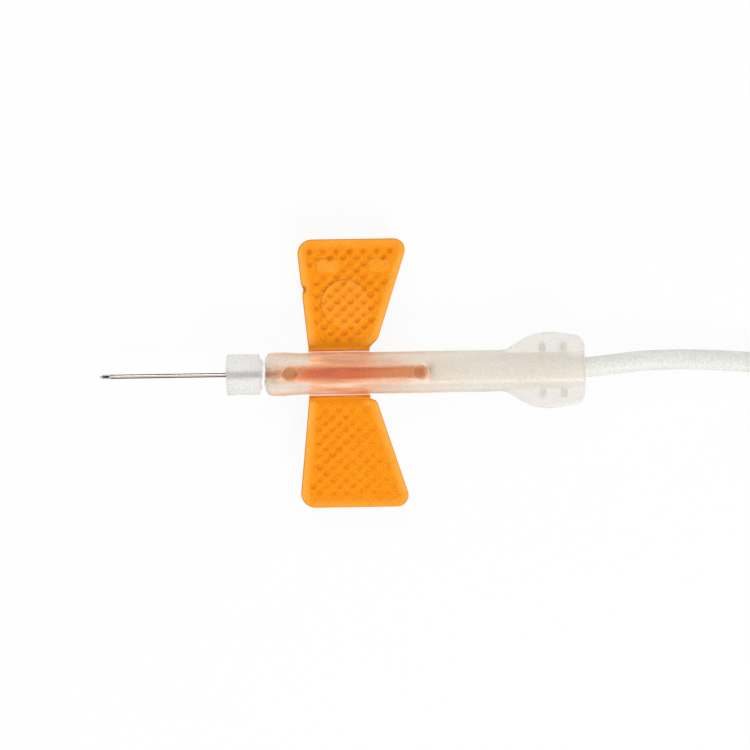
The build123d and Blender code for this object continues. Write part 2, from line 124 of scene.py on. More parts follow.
class Graph:
    """The node tree of one material or world, built by calls."""

    COLOUR_A = 6
    COLOUR_B = 7
    COLOUR_RESULT = 2

    def __init__(self, owner: "bpy.types.Material | bpy.types.World") -> None:
        """Empties the owner's node tree.

        Args:
            owner: The material or the world that holds the tree.
        """
        owner.use_nodes = True
        self.tree = owner.node_tree
        self.tree.nodes.clear()

    def node(
        self,
        kind: str,
        settings: dict[str, object] | None = None,
        sockets: dict[str | int, object] | None = None,
        output: str | int = 0,
    ) -> Sock:
        """Adds a node.

        Args:
            kind: The node's type, without its ShaderNode prefix.
            settings: The node's own settings, set first.
            sockets: Values or links for the node's inputs.
            output: The output that is wanted.

        Returns:
            The wanted output.
        """
        made = self.tree.nodes.new("ShaderNode" + kind)
        for name, value in (settings or {}).items():
            setattr(made, name, value)
        for name, value in (sockets or {}).items():
            self.feed(made.inputs[name], value)
        return Sock(self, made.outputs[output] if made.outputs else None)

    def feed(self, socket: bpy.types.NodeSocket, value: object) -> None:
        """Links a socket, or sets its value.

        Args:
            socket: The input.
            value: What it gets: an output, a number, a vector, or a colour without its alpha.
        """
        if isinstance(value, Sock):
            self.tree.links.new(value.socket, socket)
        elif isinstance(value, tuple) and len(value) == 3 and socket.type == "RGBA":
            socket.default_value = (*value, 1.0)
        else:
            socket.default_value = value

    def math(self, operation: str, first: "Sock | float", second: "Sock | float" = 0.0) -> Sock:
        """Adds a Math node."""
        return self.node("Math", {"operation": operation}, {0: first, 1: second})

    def mix(self, weight: "Sock | float", first: object, second: object) -> Sock:
        """Mixes two colours."""
        sockets = {0: weight, self.COLOUR_A: first, self.COLOUR_B: second}
        return self.node("Mix", {"data_type": "RGBA"}, sockets, self.COLOUR_RESULT)

    def layered(self, ground: object, layers: list[tuple[Sock, object]]) -> object:
        """Lays colours over one another.

        Args:
            ground: The lowest colour.
            layers: The weight and the colour of each layer over it, the lowest first.

        Returns:
            The colour of them all.
        """
        for weight, colour in layers:
            ground = self.mix(weight, ground, colour)
        return ground

    def place(self) -> Sock:
        """Gives the place on the piece, in metres."""
        return self.node("TexCoord", output="Object")

    def parts(self, vector: Sock) -> tuple[Sock, Sock, Sock]:
        """Splits a vector into its three values."""
        split = self.node("SeparateXYZ", sockets={0: vector})
        return split, split.output("Y"), split.output("Z")

    def lengths(self, place: Sock) -> tuple[Sock, Sock]:
        """Gives how far a place lies along the axis, and how far to either side of it."""
        along, across, _ = self.parts(place)
        return along, self.math("ABSOLUTE", across)

    def stored(self, name: str) -> Sock:
        """Gives a value that the mesh stores at its points."""
        return self.node("Attribute", {"attribute_name": name}, output="Fac")

    def ramp(self, value: Sock, span: Span) -> Sock:
        """Gives a smooth step from 0 to 1 over a span of the value."""
        sockets = {"Value": value, "From Min": span[0], "From Max": span[1]}
        return self.node("MapRange", {"clamp": True, "interpolation_type": "SMOOTHSTEP"}, sockets)

    def step(self, length: Sock, span: Span) -> Sock:
        """Gives a smooth step from 0 to 1 over a span in millimetres of a length in metres."""
        return self.ramp(length, (span[0] * MM, span[1] * MM))

    def noise(self, vector: Sock, scale: float, detail: float = 2.0) -> Sock:
        """Gives a grey noise from 0 to 1, scale being its features for each metre."""
        return self.node("TexNoise", sockets={"Vector": vector, "Scale": scale, "Detail": detail})

    def drawn(self, vector: Sock, along: float, across: float) -> Sock:
        """Gives a noise drawn out along X, from its features for each metre along and across."""
        scale = (along, across, across)
        return self.noise(self.node("Mapping", sockets={"Vector": vector, "Scale": scale}), 1.0)

    def bump(self, height: Sock, strength: float, reach: float = 0.02) -> Sock:
        """Turns a height into a normal, reach being its height in millimetres."""
        sockets = {"Height": height, "Distance": reach * MM, "Strength": strength}
        return self.node("Bump", sockets=sockets)

    def surface(self, shader: Sock) -> None:
        """Gives the material its shader."""
        self.node("OutputMaterial", sockets={"Surface": shader})


def new_graph(name: str) -> tuple[bpy.types.Material, Graph]:
    """Makes an empty material and its graph."""
    material = bpy.data.materials.new(name)
    return material, Graph(material)


@dataclass(frozen=True)
class WingPlastic:
    """The soft satin plastic of the wings, on meshes that store where their rims and hollows lie.

    A pair of weights is the least weight, and what a noise adds to it.
    """

    colour: Colour = linear(251, 153, 8)
    shade: Colour = linear(236, 130, 2)
    # hollow: the dark grain's colour, and the painted shade in the dimples
    hollow: Colour = linear(206, 100, 2)
    # light: the pale grain's colour, and the painted highlight on the rim and the raised marks
    light: Colour = linear(255, 176, 70)
    # outline: painted shade along the edges and the disc's edge, and the darkening round the nick
    outline: Colour = linear(170, 88, 34)
    # root: painted light on the hinge strip, against the shade that falls there
    root: Colour = linear(255, 158, 44)
    cloud_scale: float = 300.0
    mottle_scale: float = 900.0
    grain_scale: float = 6500.0
    dark_grain: Span = (0.3, 0.5)
    pale_grain: Span = (0.48, 0.72)
    shade_weight: float = 0.9
    pale_weight: float = 0.55
    dark_weight: float = 0.4
    edge_shade_weight: float = 0.42
    raised_highlight_weights: Span = (0.15, 0.4)
    rim_highlight_weights: Span = (0.5, 0.6)
    dimple_shade_weights: Span = (0.45, 0.5)
    roughness: float = 0.5
    roughness_grain: float = 0.1
    mottle_relief: float = 0.8
    relief: float = 0.6
    glow: float = 0.08
    glow_reach: Colour = (1.0, 0.35, 0.08)
    glow_depth: float = 0.3
    shine: float = 0.08

    @staticmethod
    def varied(graph: Graph, name: str, weights: Span, noise: Sock) -> Sock:
        """Gives a stored value, weighted by a pair of weights and a noise."""
        return graph.stored(name) * (weights[0] + noise * weights[1])

    def build(self) -> bpy.types.Material:
        """Builds the finish: mottled and finely grained, with painted highlight on its rim and raised marks,
        painted shade in its dimples and along its edges, and painted light at its root.

        Returns:
            The material.
        """
        material, graph = new_graph("wing_plastic")
        place = graph.place()
        mottle = graph.noise(place, self.mottle_scale, detail=3.0)
        grain = graph.noise(place, self.grain_scale)
        cloud = graph.noise(place, self.cloud_scale)
        layers = [
            (mottle * self.shade_weight, self.shade),
            (graph.ramp(grain, self.pale_grain) * self.pale_weight, self.light),
            ((1 - graph.ramp(grain, self.dark_grain)) * self.dark_weight, self.hollow),
            # Painted highlight on the raised marks and on the rim.
            (self.varied(graph, "raised", self.raised_highlight_weights, cloud), self.light),
            (self.varied(graph, "rim", self.rim_highlight_weights, cloud), self.light),
            # Painted shade in the dimples, deepest on their lower slopes.
            (self.varied(graph, "hollow", self.dimple_shade_weights, mottle), self.hollow),
            # Painted shade along the edges and the disc's edge, and darkening round the nick.
            (graph.stored("outline") * self.edge_shade_weight, self.outline),
            # Painted light on the hinge strip.
            (graph.stored("root"), self.root),
        ]
        sockets = {
            "Base Color": graph.layered(self.colour, layers),
            "Roughness": self.roughness + grain * self.roughness_grain,
            "Normal": graph.bump(grain + mottle * self.mottle_relief, self.relief),
            "Subsurface Weight": self.glow,
            "Subsurface Radius": self.glow_reach,
            "Subsurface Scale": self.glow_depth * MM,
            "Specular IOR Level": self.shine,
        }
        graph.surface(graph.node("BsdfPrincipled", sockets=sockets))
        return material


@dataclass(frozen=True)
class HubPlastic:
    """The hub's plastic: deep orange in its thick barrel, darkened there by painted shade, and paler by painted
    light where light passes its thin webs, on the barrel's sides, the hinges' edges and the rear end.

    The spans are in millimetres: those named for a side run outward from the axis, and the
    others along it.
    """

    # core: the thick barrel's deep orange, darkened further as painted shade
    core: Colour = linear(194, 76, 4)
    front: Colour = linear(200, 134, 80)
    rear: Colour = linear(191, 114, 52)
    # web: paler orange, painted light passing through the thin webs
    web: Colour = linear(253, 181, 110)
    streak: Colour = linear(255, 225, 194)
    fin: Colour = linear(248, 222, 202)
    # hinge: painted light on the hinges' edges, against the shade there
    hinge: Colour = linear(255, 164, 64)
    speck: Colour = linear(96, 108, 146)
    # warm_tip and the colour below: painted light on the hub's rear end, which lies in shade inside the tube and
    # the sleeve
    warm_tip: Colour = linear(252, 214, 186)
    spigot_painted_light: Colour = linear(255, 248, 236)
    front_to_rear: Span = (-6.0, 0.0)
    core_start: Span = (-5.6, -3.6)
    core_end: Span = (2.0, 6.0)
    web_end: Span = (2.0, 4.6)
    window_end: Span = (-7.4, -6.4)
    tip_start: Span = (9.4, 10.8)
    tip_fade: Span = (10.6, 13.8)
    barrel_side: Span = (0.35, 0.95)
    flank_side: Span = (0.1, 0.6)
    speck_side: Span = (0.4, 0.9)
    hinge_side: Span = (2.46, 2.6)
    mottle_scale: float = 1400.0
    grain_scale: float = 6500.0
    speck_scale: float = 4200.0
    streak_scales: Span = (170.0, 2600.0)
    streak_grain: Span = (0.45, 0.68)
    speck_grain: Span = (0.56, 0.62)
    streak_weight: float = 0.8
    mottle_weight: float = 0.3
    flank_weight: float = 0.9
    speck_weight: float = 0.5
    roughness: float = 0.5
    roughness_grain: float = 0.1
    relief: float = 0.5
    shine: float = 0.12

    def thin(self, graph: Graph, place: Sock) -> object:
        """Gives the colour of the thin parts beside the barrel, paled by painted light that passes through them.

        Args:
            graph: The material's graph.
            place: The place on the hub.

        Returns:
            The streaked colour of the webs, the fins behind them and the hinges' edges.
        """
        along, away = graph.lengths(place)
        streaks = graph.ramp(graph.drawn(place, *self.streak_scales), self.streak_grain)
        layers = [
            (graph.step(along, self.web_end), self.fin),
            # Painted light on the hinges' edges.
            (graph.step(away, self.hinge_side), self.hinge),
            (streaks * self.streak_weight, self.streak),
        ]
        return graph.layered(self.web, layers)

    def build(self) -> bpy.types.Material:
        """Builds the finish.

        Returns:
            The material.
        """
        material, graph = new_graph("hub_plastic")
        place = graph.place()
        along, away = graph.lengths(place)
        mottle = graph.noise(place, self.mottle_scale, detail=3.0)
        grain = graph.noise(place, self.grain_scale)
        ends = graph.mix(graph.step(along, self.front_to_rear), self.front, self.rear)
        middle = graph.step(along, self.core_start) * (1 - graph.step(along, self.core_end))
        window = 1 - graph.step(along, self.window_end)
        flank = window * graph.step(away, self.flank_side)
        specks = graph.ramp(graph.noise(place, self.speck_scale, detail=1.0), self.speck_grain)
        specks = specks * window * (1 - graph.step(away, self.speck_side))
        # Painted light on the rear end, in shade inside the tube and the sleeve.
        tip = graph.mix(graph.step(along, self.tip_fade), self.warm_tip, self.spigot_painted_light)
        layers = [
            # Painted shade deepens the barrel's core.
            (middle, self.core),
            # Painted light on the barrel's steep sides and the thin parts beside them.
            (graph.step(away, self.barrel_side), self.thin(graph, place)),
            (mottle * self.mottle_weight, ends),
            (flank * self.flank_weight, self.fin),
            (specks * self.speck_weight, self.speck),
            (graph.step(along, self.tip_start), tip),
        ]
        sockets = {
            "Base Color": graph.layered(ends, layers),
            "Roughness": self.roughness + grain * self.roughness_grain,
            "Normal": graph.bump(grain + mottle, self.relief),
            "Specular IOR Level": self.shine,
        }
        graph.surface(graph.node("BsdfPrincipled", sockets=sockets))
        return material


@dataclass(frozen=True)
class FrostedPlastic:
    """A clear plastic with a frosted, finely grained face and a thin gloss."""

    name: str
    colour: Colour = linear(247, 243, 237)
    grit: Colour = linear(240, 232, 224)
    clear: float = 0.975
    haze: float = 0.1
    bend: float = 1.2
    roughness: float = 0.38
    roughness_grain: float = 0.12
    gloss: float = 0.16
    gloss_roughness: float = 0.17
    milk: float = 0.0
    milk_depth: float = 0.8
    cloud_scale: float = 420.0
    grain_scale: float = 7600.0
    speck_scale: float = 4600.0
    frost_grain: Span = (0.42, 0.66)
    speck_grain: Span = (0.4, 0.66)
    speck_depth: float = 0.16
    relief: float = 0.4

    def grained(self, graph: Graph, place: Sock, colour: Colour) -> Sock:
        """Puts fine darker grains into a colour.

        Args:
            graph: The material's graph.
            place: The place on the piece.
            colour: The plain colour.

        Returns:
            The grained colour.
        """
        speck = graph.ramp(graph.noise(place, self.speck_scale, detail=1.0), self.speck_grain)
        darker = tuple(value * (1 - self.speck_depth) for value in colour)
        return graph.mix(speck, colour, darker)

    def tone(self, graph: Graph, place: Sock) -> Sock:
        """Gives the plastic's colour."""
        return self.grained(graph, place, self.colour)

    def veil(self, graph: Graph, place: Sock) -> "Sock | float":
        """Gives the share of frost on the grains."""
        return self.haze

    def shine(self, graph: Graph, place: Sock) -> "Sock | float":
        """Gives the weight of the gloss."""
        return self.gloss

    def build(self) -> bpy.types.Material:
        """Builds the finish: a clear body under grains of white frost.

        Returns:
            The material.
        """
        material, graph = new_graph(self.name)
        place = graph.place()
        cloud = graph.noise(place, self.cloud_scale, detail=3.0)
        grain = graph.noise(place, self.grain_scale)
        frost = graph.ramp(grain, self.frost_grain) * self.veil(graph, place)
        sockets = {
            "Base Color": self.tone(graph, place),
            "Roughness": self.roughness + grain * self.roughness_grain,
            "Transmission Weight": self.clear,
            "Normal": graph.bump(grain + cloud, self.relief),
            "IOR": self.bend,
            "Coat Weight": self.shine(graph, place),
            "Coat Roughness": self.gloss_roughness,
            "Subsurface Weight": self.milk,
            "Subsurface Radius": WHITE,
            "Subsurface Scale": self.milk_depth * MM,
        }
        body = graph.node("BsdfPrincipled", sockets=sockets)
        dust = graph.node("BsdfDiffuse", sockets={"Color": self.grit})
        graph.surface(graph.node("MixShader", sockets={0: frost, 1: body, 2: dust}))
        return material


@dataclass(frozen=True)
class GuardPlastic(FrostedPlastic):
    """The guard's plastic, with painted warm light from the orange hub along its edges, and painted shade on its
    grip's fins.

    The spans are in millimetres: those named for a side run outward from the axis, and the
    others along it.
    """

    colour: Colour = linear(253, 248, 240)
    # warm: painted light that the orange hub sends into the sleeve's sides
    warm: Colour = linear(245, 189, 140)
    rear: Colour = linear(251, 248, 241)
    # grip: darker, painted shade on the grip's fins
    grip: Colour = linear(245, 242, 238)
    gloss_roughness: float = 0.24
    warm_start: Span = (-9.6, -7.6)
    warm_end: Span = (4.0, 16.0)
    warm_side: Span = (1.7, 2.5)
    hub_light_weight: float = 0.8
    rear_start: Span = (10.0, 14.0)
    rear_haze: float = 0.16
    gloss_start: Span = (5.0, 10.0)
    rear_gloss: float = 0.2
    grip_start: Span = (16.5, 19.0)
    grip_side: Span = (2.4, 2.8)
    streak: float = 1.4
    streak_scales: Span = (170.0, 2900.0)
    streak_grain: Span = (0.5, 0.64)
    streak_end: Span = (0.0, 6.0)
    streak_side: Span = (0.8, 1.4)

    def shine(self, graph: Graph, place: Sock) -> Sock:
        """Gives the weight of the gloss, which is fuller behind the hub."""
        along, _ = graph.lengths(place)
        return self.gloss + graph.step(along, self.gloss_start) * self.rear_gloss

    def veil(self, graph: Graph, place: Sock) -> Sock:
        """Gives the share of frost: more behind the hub, and drawn streaks beside the core.

        Args:
            graph: The material's graph.
            place: The place on the guard.

        Returns:
            The share.
        """
        along, away = graph.lengths(place)
        lines = graph.ramp(graph.drawn(place, *self.streak_scales), self.streak_grain)
        beside = graph.step(away, self.streak_side) * (1 - graph.step(along, self.streak_end))
        behind = graph.step(along, self.rear_start) * self.rear_haze
        return self.haze + behind + lines * beside * self.streak

    def tone(self, graph: Graph, place: Sock) -> Sock:
        """Gives the plastic's colour, with painted warm light from the hub along both sides of the sleeve's front
        half, and painted shade on the grip's fins.

        Args:
            graph: The material's graph.
            place: The place on the guard.

        Returns:
            The colour.
        """
        along, away = graph.lengths(place)
        # Painted shade on the grip's fins.
        fins = graph.step(away, self.grip_side) * graph.step(along, self.grip_start)
        rear = self.grained(graph, place, self.rear)
        rear = graph.mix(fins, rear, self.grained(graph, place, self.grip))
        # Painted warm light from the hub along both sides of the front half.
        near = (1 - graph.step(along, self.warm_end)) * graph.step(along, self.warm_start)
        sides = graph.step(away, self.warm_side) * near * self.hub_light_weight
        layers = [(graph.step(along, self.rear_start), rear), (sides, self.warm)]
        return graph.layered(super().tone(graph, place), layers)


@dataclass(frozen=True)
class TubePlastic(FrostedPlastic):
    """The soft tube's matt plastic, with painted light where the guard's wall lies over it and shades it."""

    painted_light_under_guard: Colour = linear(254, 253, 249)
    guard_end: Span = (28.1, 29.1)

    def tone(self, graph: Graph, place: Sock) -> Sock:
        """Gives the plastic's colour, with painted light inside the guard.

        Args:
            graph: The material's graph.
            place: The place on the tube.

        Returns:
            The colour.
        """
        along, _ = graph.lengths(place)
        # Painted light under the guard's wall.
        inside = 1 - graph.step(along, self.guard_end)
        return graph.mix(inside, super().tone(graph, place), self.painted_light_under_guard)


@dataclass(frozen=True)
class NeedleSteel:
    """Drawn steel with fine lines along its length, and a painted reflection: bright on top and dark on its
    flanks.
    """

    name: str = "needle_steel"
    colour: Colour = linear(226, 220, 214)
    # flank: the painted dark reflection on the needle's sides
    flank: Colour = linear(50, 43, 43)
    line: Colour = linear(146, 128, 116)
    line_scales: Span = (60.0, 9000.0)
    line_weight: float = 0.6
    line_height: float = 0.004
    top: Span = (0.78, 0.99)
    roughness: float = 0.2
    roughness_grain: float = 0.12
    relief: float = 0.5

    def build(self) -> bpy.types.Material:
        """Builds the finish.

        Returns:
            The material.
        """
        material, graph = new_graph(self.name)
        lines = graph.drawn(graph.place(), *self.line_scales)
        _, _, up = graph.parts(graph.node("TexCoord", output="Normal"))
        top = graph.ramp(graph.math("ABSOLUTE", up), self.top)
        tone = graph.mix(lines * self.line_weight, self.colour, self.line)
        sockets = {
            # Painted reflection: bright on top, dark on the flanks.
            "Base Color": graph.mix(top, self.flank, tone),
            "Metallic": 1.0,
            "Roughness": self.roughness + lines * self.roughness_grain,
            "Normal": graph.bump(lines, self.relief, self.line_height),
        }
        graph.surface(graph.node("BsdfPrincipled", sockets=sockets))
        return material


# Dark steel: painted shade inside the needle's bore.
BORE_SHADE_STEEL = NeedleSteel("needle_bore", linear(70, 64, 66), linear(40, 36, 38), linear(30, 26, 28))
NOSE_PLASTIC = FrostedPlastic(
    "nose_plastic", linear(250, 249, 247), linear(212, 211, 210), clear=0.88, haze=0.4
)
# Opaque white: a painted highlight on the neck's band.
NECK_HIGHLIGHT_PLASTIC = FrostedPlastic("edge_plastic", WHITE, linear(250, 250, 252), clear=0.0)
# Whiter: a painted highlight on the latch windows' slanted edges.
RING_HIGHLIGHT_PLASTIC = FrostedPlastic("ring_plastic", linear(252, 248, 242), linear(240, 236, 230), clear=0.75)
PANE_PLASTIC = FrostedPlastic("pane_plastic", linear(232, 218, 200), clear=0.97)
# Darker: painted shade in the grip's pockets.
POCKET_SHADE_PLASTIC = FrostedPlastic(
    "pocket_plastic", linear(232, 226, 215), linear(210, 203, 190), clear=0.95, haze=0.2
)
PLUG_PLASTIC = FrostedPlastic("plug_plastic", linear(253, 252, 250), clear=1.0, haze=0.0, bend=1.04)
TUBE_PLASTIC = TubePlastic(
    "tube_plastic",
    linear(238, 238, 231),
    linear(221, 219, 211),
    clear=0.45,
    haze=0.15,
    roughness=0.5,
    gloss=0.08,
    milk=1.0,
    milk_depth=6.0,
)
CONNECTOR_PLASTIC = FrostedPlastic(
    "connector_plastic", linear(242, 243, 241), clear=0.88, haze=0.1, bend=1.3, roughness=0.14
)


def linked(name: str, data: bpy.types.ID) -> bpy.types.Object:
    """Makes an object of its data, in the scene.

    Args:
        name: The object's name.
        data: Its mesh, curve, light or camera.

    Returns:
        The object.
    """
    made = bpy.data.objects.new(name, data)
    bpy.context.scene.collection.objects.link(made)
    return made


def shown(name: str, mesh: bpy.types.Mesh, sharp: float = 35.0) -> bpy.types.Object:
    """Makes an object of a mesh, with smooth faces.

    Args:
        name: The piece's name.
        mesh: Its mesh, in metres.
        sharp: The angle in degrees above which an edge stays sharp.

    Returns:
        The object.
    """
    mesh.shade_smooth()
    mesh.set_sharp_from_angle(angle=math.radians(sharp))
    return linked(name, mesh)


def mesh_of(name: str, points: "np.ndarray | list[Point]", faces: list[tuple[int, ...]]) -> bpy.types.Mesh:
    """Makes a closed mesh, its doubles merged and its normals outward.

    Args:
        name: The mesh's name.
        points: Its points, in millimetres.
        faces: The places of each face's points in that list.

    Returns:
        The mesh.
    """
    mesh = bpy.data.meshes.new(name)
    mesh.from_pydata([tuple(float(v) * MM for v in point) for point in points], [], faces)
    work = bmesh.new()
    work.from_mesh(mesh)
    bmesh.ops.remove_doubles(work, verts=work.verts, dist=WELD)
    bmesh.ops.recalc_face_normals(work, faces=work.faces)
    work.to_mesh(mesh)
    work.free()
    return mesh


def lathe(name: str, outline: Loop, segments: int = 96) -> bpy.types.Mesh:
    """Turns a closed outline about the needle's axis.

    Args:
        name: The mesh's name.
        outline: (x, radius) points in millimetres, round a closed loop.
        segments: The number of steps in a full turn.

    Returns:
        The mesh.
    """
    count = len(outline)
    points = []
    for step in range(segments):
        turn = 2 * math.pi * step / segments
        points += [(x, r * math.cos(turn), AXIS_Z + r * math.sin(turn)) for x, r in outline]
    faces = []
    for step in range(segments):
        here, there = step * count, (step + 1) % segments * count
        for i in range(count):
            j = (i + 1) % count
            if outline[i][1] > 0 or outline[j][1] > 0:
                faces.append((here + i, here + j, there + j, there + i))
    return mesh_of(name, points, faces)


def stack(name: str, loops: list[list[Point]]) -> bpy.types.Mesh:
    """Joins closed loops to a solid, capped by the first and the last.

    Args:
        name: The mesh's name.
        loops: The loops, in millimetres, each of the same number of points.

    Returns:
        The mesh.
    """
    count = len(loops[0])
    faces = [tuple(range(count))]
    for level in range(len(loops) - 1):
        base = level * count
        for i in range(count):
            j = (i + 1) % count
            faces.append((base + i, base + j, base + count + j, base + count + i))
    faces.append(tuple(range((len(loops) - 1) * count, len(loops) * count)))
    return mesh_of(name, [point for loop in loops for point in loop], faces)


def rounded(corners: list[Point], step: float) -> np.ndarray:
    """Rounds the corners of a closed outline.

    Args:
        corners: (x, y, radius) of each corner.
        step: The turn between two points of an arc, in degrees.

    Returns:
        The outline's points.
    """
    made = []
    for index, (x, y, radius) in enumerate(corners):
        here = np.array([x, y])
        before = np.array(corners[index - 1][:2])
        after = np.array(corners[(index + 1) % len(corners)][:2])
        if radius == 0:
            made.append(here)
            continue
        came = (here - before) / np.linalg.norm(here - before)
        goes = (after - here) / np.linalg.norm(after - here)
        turn = math.atan2(came[0] * goes[1] - came[1] * goes[0], float(came @ goes))
        start = here - came * radius * math.tan(abs(turn) / 2)
        side = np.array([-came[1], came[0]]) * math.copysign(1.0, turn)
        steps = max(2, math.ceil(abs(math.degrees(turn)) / step))
        for k in range(steps + 1):
            angle = abs(turn) * k / steps
            made.append(start + came * radius * math.sin(angle) + side * radius * (1 - math.cos(angle)))
    return np.array(made)


def inset(outline: np.ndarray, distance: float) -> np.ndarray:
    """Moves an outline inward by a small distance.

    Args:
        outline: Its points, anticlockwise.
        distance: How far it moves.

    Returns:
        The moved points.
    """
    tangent = np.roll(outline, -1, axis=0) - np.roll(outline, 1, axis=0)
    tangent /= np.linalg.norm(tangent, axis=1)[:, None]
    return outline + distance * np.stack([-tangent[:, 1], tangent[:, 0]], axis=1)


def cut(base: bpy.types.Object, tool: bpy.types.Object, operation: str = "DIFFERENCE") -> None:
    """Cuts a tool from the base, or joins it, and removes the tool.

    Args:
        base: The object that is changed.
        tool: The form that cuts it.
        operation: The kind of boolean.
    """
    modifier = base.modifiers.new("cut", "BOOLEAN")
    modifier.operation = operation
    modifier.solver = "EXACT"
    modifier.material_mode = "TRANSFER"
    modifier.object = tool
    graph = bpy.context.evaluated_depsgraph_get()
    mesh = bpy.data.meshes.new_from_object(base.evaluated_get(graph))
    base.modifiers.clear()
    base.data = mesh
    bpy.data.objects.remove(tool)


def paint(mesh: bpy.types.Mesh, finishes: list[bpy.types.Material], pick: Callable[[Vector, Vector], int]) -> None:
    """Gives each face of a mesh one of several finishes.

    Args:
        mesh: The mesh.
        finishes: Its materials.
        pick: Gives a finish's place in the list from a face's centre, in millimetres, and its normal.
    """
    for finish in finishes:
        mesh.materials.append(finish)
    for face in mesh.polygons:
        face.material_index = pick(face.center / MM, face.normal)


def block(name: str, low: Point, high: Point) -> bpy.types.Object:
    """Makes a cutting block.

    Args:
        name: The block's name.
        low: Its lowest corner, in millimetres.
        high: Its highest corner.

    Returns:
        The block.
    """
    plan = [(low[0], low[1]), (high[0], low[1]), (high[0], high[1]), (low[0], high[1])]
    loops = [[(x, y, z) for x, y in plan] for z in (low[2], high[2])]
    return shown(name, stack(name, loops))


def arc(centre: Span, radius: float, first: float, last: float, steps: int) -> Loop:
    """Gives the points of an arc between two angles in degrees."""
    angles = [math.radians(first + (last - first) * k / steps) for k in range(steps + 1)]
    return [(centre[0] + radius * math.cos(a), centre[1] + radius * math.sin(a)) for a in angles]


@dataclass
class Needle:
    """The steel tube with its ground point. Sizes are in millimetres, and angles in degrees."""

    steel: bpy.types.Material
    # inside: the bore's finish, painted shade
    inside: bpy.types.Material
    radius: float = 0.25
    bore: float = 0.13
    tip: float = -28.6
    end: float = -4.7
    bevel: float = 17.0
    lancet: float = 24.0
    twist: float = 42.0
    lancet_length: float = 0.55
    segments: int = 64
    rings: int = 24
    first_ring: float = 0.02

    def point_x(self, radius: float, turn: float) -> float:
        """Finds where the ground faces cut the tube.

        Args:
            radius: The radius of the tube's face.
            turn: The angle round it.

        Returns:
            The X of the cut.
        """
        across, up = radius * math.cos(turn), radius * math.sin(turn)
        cuts = [self.tip + (up + self.radius) / math.tan(math.radians(self.bevel))]
        rise = self.radius * (1 - math.cos(math.radians(self.twist)))
        slope = math.tan(math.radians(self.lancet))
        for side in (-1, 1):
            lean = math.radians(side * self.twist)
            height = up * math.cos(lean) - across * math.sin(lean) + self.radius
            x = (height - rise) / slope
            cuts.append(self.tip + x if x < self.lancet_length else self.tip)
        return max(cuts)

    def build(self) -> bpy.types.Object:
        """Builds the needle, as rings from its ground rim back to its end, outside and in.

        Returns:
            The needle.
        """
        back = np.concatenate([[0.0], np.geomspace(self.first_ring, 1.0, self.rings)])
        rings = []
        for radius, order in ((self.radius, back[::-1]), (self.bore, back)):
            for share in order:
                ring = []
                for step in range(self.segments):
                    turn = 2 * math.pi * step / self.segments
                    start = self.point_x(radius, turn)
                    x = start + (self.end - start) * share
                    ring.append((x, radius * math.cos(turn), AXIS_Z + radius * math.sin(turn)))
                rings.append(ring)
        count = self.segments
        faces = []
        for level in range(len(rings)):
            here, there = level * count, (level + 1) % len(rings) * count
            for i in range(count):
                j = (i + 1) % count
                faces.append((here + i, here + j, there + j, there + i))
        points = [point for ring in rings for point in ring]
        needle = shown("needle", mesh_of("needle", points, faces), 30.0)
        rim = (self.radius + self.bore) / 2

        def in_bore(centre: Vector, normal: Vector) -> int:
            """Picks the second finish, painted shade, for the faces of the bore, half a wall inside the rim's
            middle.
            """
            return int(math.hypot(centre.y, centre.z - AXIS_Z) < rim - (rim - self.bore) / 2)

        paint(needle.data, [self.steel, self.inside], in_bore)
        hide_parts("needle_cannula")
        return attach(needle, "hub")


class Side(Enum):
    """The two wings."""

    RIGHT = 1
    LEFT = -1


